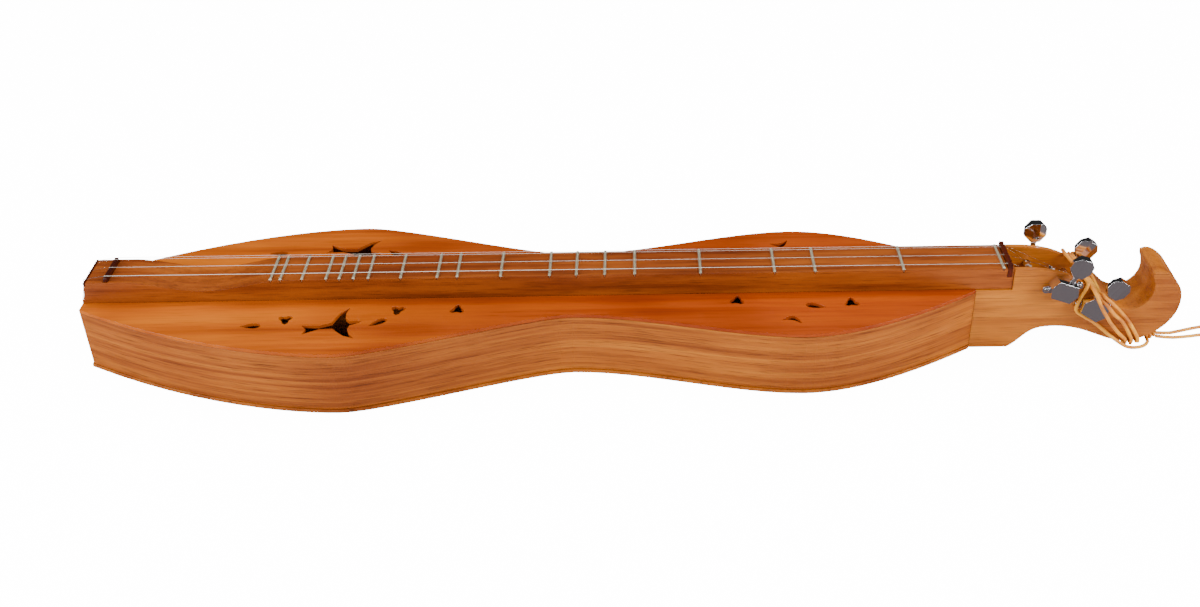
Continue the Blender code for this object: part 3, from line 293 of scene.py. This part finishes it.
NICKEL_SILVER = metal("nickel_silver", "F0E8C8", 0.45, 900.0, 0.0002)
FRET_COUNT = 19
for name in ["zero_fret"] + [f"fret_{number:02d}" for number in range(1, FRET_COUNT + 1)]:
    finish(name, NICKEL_SILVER)

# Headstock. One sawn block of walnut with its pegbox routed out and its scroll left open. It
# is cut from a paler, finer piece than the ribs, and oiled like them.

HEAD_WOOD = wood(
    "oiled_walnut_pale",
    ((0.30, "DDA85A"), (0.50, "CB9244"), (0.66, "B17834"), (0.80, "8E5A22")),
    (7, 120, 120),
    0.45,
    0.42,
    0.12,
)
finish("headstock", HEAD_WOOD)

# Tuners. Chromed die-cast housings, each screwed on at two lugs, with a shaft and a faceted
# button that mirror the room. The screws are small domed heads with a slot, on the lugs.

CHROME = metal("chrome_plate", "E6E6EA", 0.07, 400.0, 0.0005)
SHAFT_HEIGHT = 0.0070
WORM_OFFSET = 0.0025
LUG_TOP = 0.0025
LUGS = ((-0.0061, 0.0107), (0.0058, -0.0118))
SCREW_RADIUS = 0.0019
SCREW_HEIGHT = 0.0009
SLOT_WIDTH = 0.0004
SCREW_GAP = 0.0001
TUNERS = {
    "tuner_far_front": 1,
    "tuner_near_front": -1,
    "tuner_far_rear": 1,
    "tuner_near_rear": -1,
}


def screw_head(name, place, out, along):
    """A domed head with a straight slot, its underside on the lug."""
    bpy.ops.object.select_all(action="DESELECT")
    bpy.ops.mesh.primitive_uv_sphere_add(segments=24, ring_count=12, radius=SCREW_RADIUS)
    head = bpy.context.active_object
    head.name = name
    head.data.name = name
    for vertex in head.data.vertices:
        vertex.co.z = max(0.0, vertex.co.z) * SCREW_HEIGHT / SCREW_RADIUS
    bpy.ops.mesh.primitive_cube_add(size=1.0)
    slot = bpy.context.active_object
    slot.scale = (3 * SCREW_RADIUS, SLOT_WIDTH, SCREW_HEIGHT)
    slot.location = (0, 0, SCREW_HEIGHT)
    groove = head.modifiers.new("slot", "BOOLEAN")
    groove.object = slot
    groove.operation = "DIFFERENCE"
    bpy.ops.object.select_all(action="DESELECT")
    head.select_set(True)
    bpy.context.view_layer.objects.active = head
    bpy.ops.object.modifier_apply(modifier="slot")
    bpy.data.objects.remove(slot, do_unlink=True)
    across = out.cross(along)
    seat = Matrix((along, across, out)).transposed().to_4x4()
    seat.translation = place
    head.data.transform(seat)
    head.data.materials.append(CHROME)
    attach(head, "instrument")


seats = {}
for tuner, side in TUNERS.items():
    for part in ("housing", "post", "button"):
        finish(f"{tuner}_{part}", CHROME)
    joint = joints[tuner + "_button_turns"]
    along = Vector(joint["axis"]).normalized()
    out = Vector((0, side, 0))
    across = out.cross(along)
    hand = -side
    middle = Vector(joint["pos_m"]) + across * WORM_OFFSET * hand - out * SHAFT_HEIGHT
    seats[tuner] = Matrix((along, across, out)).transposed().to_4x4()
    seats[tuner].translation = middle
    for number, (x, y) in enumerate(LUGS, start=1):
        place = middle + along * x + across * y * hand + out * (LUG_TOP + SCREW_GAP)
        screw_head(f"{tuner}_screw_{number}", place, out, along)

# Strings and hitch pins. Plain drawn steel wires, bright and round, from small brass pins in
# the tail block.

STEEL = metal("string_steel", "E2DED2", 0.2, 1500.0, 0.00005)
BRASS = metal("brass", "D9AE5A", 0.25, 700.0, 0.0002)
for name in ("melody_outer", "melody_inner", "middle", "bass"):
    finish("string_" + name, STEEL)
    finish("hitch_pin_" + name, BRASS)

# Lace. A thong of buff leather about 3 mm thick, wound four times round the neck and knotted
# on the table. It is matt and orange-yellow, with fine creases. Its route repeats the CAD route.


def leather(name):
    """Soft buff leather: orange-yellow, with fine creases and a cut edge's fuzz."""
    material, tree, shader = new_material(name)
    place = add(tree, "TexCoord", {}).outputs["Object"]
    creases = add(
        tree, "TexNoise", {"Vector": place, "Scale": 700.0, "Detail": 6.0, "Roughness": 0.7}
    ).outputs[0]
    patches = add(tree, "TexNoise", {"Vector": place, "Scale": 60.0, "Detail": 3.0}).outputs[0]
    colour = ramp(tree, patches, ((0.30, "B86410"), (0.50, "E08A10"), (0.72, "F4AC1C")))
    relief = add(
        tree, "Bump", {"Height": creases, "Strength": 0.35, "Distance": 0.0004}
    ).outputs["Normal"]
    tree.links.new(colour, shader.inputs["Base Color"])
    tree.links.new(relief, shader.inputs["Normal"])
    shader.inputs["Roughness"].default_value = 0.62
    shader.inputs["Sheen Weight"].default_value = 0.05
    return material


LEATHER = leather("buff_leather")

LACE_DIAMETER = 0.0029
LACE_LIE = 0.0021
LACE_LIE_ON_SLOPE = 0.0027
LACE_POINT_SPACING = 0.0028
HEAD_HALF = 0.0195
GLUE_GAP = 0.0003
BOARD_TOP = 0.0756
JOINT_X = 0.3420
KNOT_LENGTH = 0.0105
KNOT_RADIUS = 0.0036
KNOT_X = JOINT_X + 0.149
KNOT_ACROSS = -0.010
KNOT_HEIGHT = 0.0039
HEAD_UNDERSIDE = (
    (0.0310, 0.0000), (0.0362, 0.0038), (0.0455, 0.0134), (0.0530, 0.0182), (0.0640, 0.0200),
    (0.0755, 0.0195), (0.0880, 0.0168), (0.1010, 0.0118), (0.1130, 0.0070), (0.1250, 0.0046),
    (0.1380, 0.0068), (0.1485, 0.0123), (0.1565, 0.0198), (0.1623, 0.0295), (0.1647, 0.0405),
)  # fmt: skip
HEAD_UPPERSIDE = (
    (0.1635, 0.0236), (0.1588, 0.0148), (0.1518, 0.0080), (0.1462, 0.0050), (0.1410, 0.0047),
    (0.1382, 0.0068), (0.1402, 0.0120), (0.1417, 0.0190), (0.1412, 0.0262), (0.1375, 0.0336),
    (0.1310, 0.0386), (0.1232, 0.0402), (0.1155, 0.0379), (0.1075, 0.0326), (0.0990, 0.0258),
    (0.0910, 0.0192), (0.0830, 0.0134), (0.0750, 0.0084), (0.0660, 0.0047), (0.0570, 0.0024),
    (0.0480, 0.0011), (0.0380, 0.0005),
)  # fmt: skip

# Its points beside a tuner: along the shaft, across it and out from the middle

OVER_CASE = (
    (0.0120, -0.0118, 0.0240), (0.0108, -0.0088, 0.0292), (0.0090, -0.0052, 0.0327),
    (0.0047, 0.0029, 0.0328), (0.0010, 0.0123, 0.0325), (-0.0015, 0.0184, 0.0308),
)  # fmt: skip
OVER_SHAFT = (
    (0.0102, -0.0046, 0.0274), (0.0098, -0.0010, 0.0307), (0.0097, 0.0025, 0.0319),
    (0.0079, 0.0092, 0.0327), (0.0062, 0.0154, 0.0315),
)  # fmt: skip
BY_BUTTON = (
    (0.0134, -0.0028, 0.0255), (0.0135, -0.0018, 0.0297), (0.0136, 0.0004, 0.0317),
    (0.0136, 0.0027, 0.0321), (0.0129, 0.0065, 0.0310), (0.0108, 0.0158, 0.0287),
)  # fmt: skip

# Its points on the open faces: from the body joint, out from the middle, and up

BEFORE_CASE = (
    (0.0862, 0.0219, 0.0565), (0.0833, 0.0230, 0.0510), (0.0814, 0.0243, 0.0460),
    (0.0802, 0.0250, 0.0420), (0.0812, 0.0250, 0.0380), (0.0880, 0.0240, 0.0326),
    (0.0980, 0.0226, 0.0250), (0.1130, 0.0221, 0.0118), (0.1210, 0.0243, 0.0062),
    (0.1280, 0.0262, 0.0030), (0.1360, 0.0256, 0.0022), (0.1420, 0.0232, 0.0024),
    (0.1455, 0.0197, 0.0032),
)  # fmt: skip
FACE_BELOW_CASE = ((0.1180, 0.0250, 0.0165),)
FACE_BELOW_SHAFT = ((0.1200, 0.0260, 0.0265),)
FACE_BELOW_BUTTON = ((0.1250, 0.0242, 0.0265),)
FAR_FACE_BELOW_CASE = ((0.1100, 0.0250, 0.0220),)
FAR_FACE_BELOW_SHAFT = ((0.1130, 0.0260, 0.0270),)
FAR_FACE_BELOW_BUTTON = ((0.1180, 0.0240, 0.0270),)
FAR_FACE_BARE = ((0.1025, 0.0216, 0.0470), (0.1230, 0.0215, 0.0265))
TAIL_LONG = (
    (0.1610, -0.0072, 0.0032), (0.1690, -0.0052, 0.0018), (0.1820, -0.0012, 0.0018),
    (0.1960, 0.0028, 0.0018), (0.2140, 0.0065, 0.0018), (0.2330, 0.0076, 0.0018),
    (0.2540, 0.0050, 0.0018),
)  # fmt: skip
TAIL_SHORT = (
    (0.1610, -0.0122, 0.0026), (0.1690, -0.0120, 0.0018), (0.1820, -0.0106, 0.0018),
    (0.1940, -0.0085, 0.0018), (0.2100, -0.0075, 0.0018), (0.2300, -0.0095, 0.0018),
    (0.2480, -0.0145, 0.0018),
)  # fmt: skip


def smooth_route(points, spacing):
    """Points about a spacing apart along a smooth curve through the given ones."""
    ends = [2 * points[0] - points[1], *points, 2 * points[-1] - points[-2]]
    dense = []
    for a, b, c, d in zip(ends, ends[1:], ends[2:], ends[3:]):
        steps = 12
        for step in range(steps):
            t = step / steps
            dense.append(
                0.5
                * (
                    2 * b
                    + (c - a) * t
                    + (2 * a - 5 * b + 4 * c - d) * t**2
                    + (3 * b - a - 3 * c + d) * t**3
                )
            )
    dense.append(points[-1])
    along = [0.0]
    for a, b in zip(dense, dense[1:]):
        along.append(along[-1] + (b - a).length)
    count = max(2, round(along[-1] / spacing) + 1)
    wanted = np.linspace(0, along[-1], count)
    table = np.array([tuple(p) for p in dense])
    return [
        Vector(tuple(float(np.interp(s, along, table[:, k])) for k in range(3)))
        for s in wanted
    ]


def neck_top(x):
    """The height of the neck's upper side between the nut and the scroll."""
    slope = HEAD_UPPERSIDE[:10:-1]
    places = [JOINT_X + dx for dx, dz in slope]
    return float(np.interp(x, places, [BOARD_TOP - dz for dx, dz in slope]))


def neck_bottom(x):
    places = [JOINT_X + dx for dx, dz in HEAD_UNDERSIDE]
    return float(np.interp(x, places, [dz + GLUE_GAP for dx, dz in HEAD_UNDERSIDE]))


def beside_tuner(tuner, side, places):
    seat = seats[tuner]
    along, across = seat.col[0].xyz, seat.col[1].xyz
    made = []
    for t, s, out in places:
        point = seat.translation + along * t + across * side * s
        made.append(Vector((point.x, side * out, point.z)))
    return made


def on_face(side, places):
    return [Vector((JOINT_X + dx, side * out, z)) for dx, out, z in places]


def over_edge(from_joint, side):
    """Two points that take the lace off the neck's upper side, over its edge."""
    x = JOINT_X + from_joint
    top = neck_top(x)
    inner = Vector((x, side * (HEAD_HALF - 0.003), top + LACE_LIE_ON_SLOPE))
    outer = Vector((x, side * (HEAD_HALF + 0.0015), top + 0.8 * LACE_LIE_ON_SLOPE))
    return [inner, outer]


def under_edge(from_joint, side):
    """Three points that take the lace round the neck's lower edge, from the face inward."""
    x = JOINT_X + from_joint
    low = neck_bottom(x)
    return [
        Vector((x, side * (HEAD_HALF + LACE_LIE), low + 0.0020)),
        Vector((x, side * (HEAD_HALF + 0.0022), low - 0.0020)),
        Vector((x, side * (HEAD_HALF - 0.0030), low - 1.1 * LACE_LIE)),
    ]


def near_strand(top, beside, face, bottom):
    strand = over_edge(top, -1) + beside_tuner("tuner_near_rear", -1, beside)
    return strand + on_face(-1, face) + under_edge(bottom, -1)


def far_strand(bottom, face, beside, top):
    strand = over_edge(top, 1) + beside_tuner("tuner_far_rear", 1, beside)
    strand += on_face(1, face) + under_edge(bottom, 1)
    return strand[::-1]


def thong(name, points, replaced):
    """A length of the lace along a route, as one round strand."""
    curve = bpy.data.curves.new(name, "CURVE")
    curve.dimensions = "3D"
    curve.bevel_depth = LACE_DIAMETER / 2
    curve.bevel_resolution = 3
    curve.use_fill_caps = True
    spline = curve.splines.new("POLY")
    spline.points.add(len(points) - 1)
    for point, place in zip(spline.points, points):
        point.co = (*place, 1.0)
    spline.use_smooth = True
    strand = bpy.data.objects.new(name, curve)
    bpy.context.scene.collection.objects.link(strand)
    curve.materials.append(LEATHER)
    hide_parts(replaced)
    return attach(strand, "instrument")


knot_start = KNOT_X - KNOT_LENGTH / 2 - GLUE_GAP
into_knot = KNOT_ACROSS - KNOT_RADIUS - GLUE_GAP
winding = [
    Vector((knot_start, -0.0082, 0.0044)),
    Vector((knot_start - LACE_DIAMETER, -0.0082, 0.0044)),
    Vector((knot_start - 0.0042, -0.0050, 0.0044)),
    Vector((knot_start - 0.0040, 0.0040, 0.0050)),
]
winding += far_strand(0.1400, FAR_FACE_BARE, (), 0.0990)
winding += near_strand(0.0980, BY_BUTTON, FACE_BELOW_BUTTON, 0.1359)
winding += far_strand(0.1334, FAR_FACE_BELOW_BUTTON, BY_BUTTON, 0.0868)
winding += near_strand(0.0940, OVER_SHAFT, FACE_BELOW_SHAFT, 0.1309)
winding += far_strand(0.1286, FAR_FACE_BELOW_SHAFT, OVER_SHAFT, 0.0826)
winding += near_strand(0.0910, OVER_CASE, FACE_BELOW_CASE, 0.1261)
winding += far_strand(0.1238, FAR_FACE_BELOW_CASE, OVER_CASE, 0.0774)
winding += over_edge(0.0875, -1) + on_face(-1, BEFORE_CASE)
winding += [
    Vector((KNOT_X - 0.003, into_knot - LACE_DIAMETER, KNOT_HEIGHT)),
    Vector((KNOT_X - 0.003, into_knot, KNOT_HEIGHT)),
]
winding = smooth_route(winding, LACE_POINT_SPACING)
lace = thong("lace_round_neck", winding, "lace_winding")

# The knot is the lace's own turns round both strands, drawn tight

KNOT_TURNS = 2.5
KNOT_TURN_POINTS = 20
KNOT_TURN_RADIUS = KNOT_RADIUS - LACE_DIAMETER / 2
turns = []
count = round(KNOT_TURNS * KNOT_TURN_POINTS)
reach = KNOT_LENGTH - LACE_DIAMETER
for step in range(count + 1):
    angle = 2 * math.pi * step / KNOT_TURN_POINTS
    turns.append(
        Vector(
            (
                KNOT_X + reach * (step / count - 0.5),
                KNOT_ACROSS + KNOT_TURN_RADIUS * math.cos(angle),
                KNOT_HEIGHT + KNOT_TURN_RADIUS * math.sin(angle),
            )
        )
    )
knot = thong("lace_knot_turns", turns, "lace_knot")

knot_end = KNOT_X + KNOT_LENGTH / 2 + GLUE_GAP
TAILS = (
    ("lace_long_tail", "lace_tail_long", -0.0082, 0.0044, TAIL_LONG),
    ("lace_short_tail", "lace_tail_short", -0.0118, 0.0034, TAIL_SHORT),
)
for name, replaced, across, height, places in TAILS:
    route = [Vector((knot_end, across, height))]
    route += [Vector((JOINT_X + dx, y, z)) for dx, y, z in places]
    route = smooth_route(route, 2.5 * LACE_DIAMETER)
    tail = thong(name, route, replaced)

# Camera at the photograph's viewing angle, from a fit to the frets and the body's corners

PHOTO_WIDTH = 1200
FOCAL_PIXELS = 1377.5
SENSOR_WIDTH = 36.0
camera_data = bpy.data.cameras.new("photo_camera")
camera_data.sensor_width = SENSOR_WIDTH
camera_data.lens = FOCAL_PIXELS * SENSOR_WIDTH / PHOTO_WIDTH
camera = bpy.data.objects.new("photo_camera", camera_data)
bpy.context.scene.collection.objects.link(camera)
right = Vector((0.99934, 0.01865, -0.03117))
up = Vector((0.01559, 0.55491, 0.83177))
forward = Vector((-0.03281, 0.83170, -0.55425))
turn = Matrix((right, up, -forward)).transposed().to_4x4()
camera.matrix_world = Matrix.Translation((0.07654, -0.94991, 0.66929)) @ turn
bpy.context.scene.camera = camera

# Table, lights and a dark card that only shows in the chrome. The table glows only to the
# camera, and it and the sky are dim in reflections, as in the photograph's dark studio.

FLOOR_SIZE = 8.0
FLOOR_GLOW = 14.0
SKY_LIGHT = 0.40
SKY_IN_REFLECTIONS = 0.03
bpy.ops.object.select_all(action="DESELECT")
bpy.ops.mesh.primitive_plane_add(size=FLOOR_SIZE, location=(0, 1.0, -0.0002))
floor = bpy.context.active_object
floor.name = "floor"
paper, tree, shader = new_material("white_paper")
reflected = add(tree, "LightPath", {}).outputs["Is Glossy Ray"]
white = {"Fac": reflected, "Color1": linear("F7F6F8"), "Color2": linear("4A4244")}
sheet = add(tree, "MixRGB", white).outputs["Color"]
tree.links.new(sheet, shader.inputs["Base Color"])
shader.inputs["Roughness"].default_value = 0.9
shader.inputs["Emission Color"].default_value = (1.0, 1.0, 1.0, 1.0)
seen = add(tree, "LightPath", {}).outputs["Is Camera Ray"]
glow = add(tree, "Math", {0: seen, 1: FLOOR_GLOW}, operation="MULTIPLY").outputs[0]
tree.links.new(glow, shader.inputs["Emission Strength"])
floor.data.materials.append(paper)

world = bpy.data.worlds.new("soft_studio")
bpy.context.scene.world = world
world.use_nodes = True
sky = world.node_tree
sky.nodes["Background"].inputs["Color"].default_value = (1.0, 1.0, 1.0, 1.0)
mirrored = add(sky, "LightPath", {}).outputs["Is Glossy Ray"]
brightness = {"Value": mirrored, "To Min": SKY_LIGHT, "To Max": SKY_IN_REFLECTIONS}
strength = add(sky, "MapRange", brightness).outputs[0]
sky.links.new(strength, sky.nodes["Background"].inputs["Strength"])


def soft_box(name, place, target, width, height, power):
    """A rectangular area light that faces a target."""
    light = bpy.data.lights.new(name, "AREA")
    light.shape = "RECTANGLE"
    light.size = width
    light.size_y = height
    light.energy = power
    lamp = bpy.data.objects.new(name, light)
    bpy.context.scene.collection.objects.link(lamp)
    place = Vector(place)
    lamp.location = place
    lamp.rotation_euler = (Vector(target) - place).to_track_quat("-Z", "Y").to_euler()


soft_box("overhead", (0.0, 0.35, 1.7), (0.05, 0.0, 0.0), 2.4, 1.2, 30.0)
soft_box("front_left", (-1.7, -0.9, 0.8), (-0.1, 0.0, 0.0), 0.9, 0.9, 46.0)
soft_box("front_right", (1.8, -0.9, 0.8), (0.2, 0.0, 0.0), 0.9, 0.9, 44.0)

bpy.ops.object.select_all(action="DESELECT")
bpy.ops.mesh.primitive_plane_add(
    size=1.6, location=(0.2, -2.4, 0.9), rotation=(math.radians(90), 0, 0)
)
card = bpy.context.active_object
card.name = "dark_card"
black_cloth, tree, shader = new_material("black_cloth")
shader.inputs["Base Color"].default_value = linear("15141A")
shader.inputs["Roughness"].default_value = 1.0
card.data.materials.append(black_cloth)
card.visible_camera = False
card.visible_diffuse = False
card.visible_shadow = False
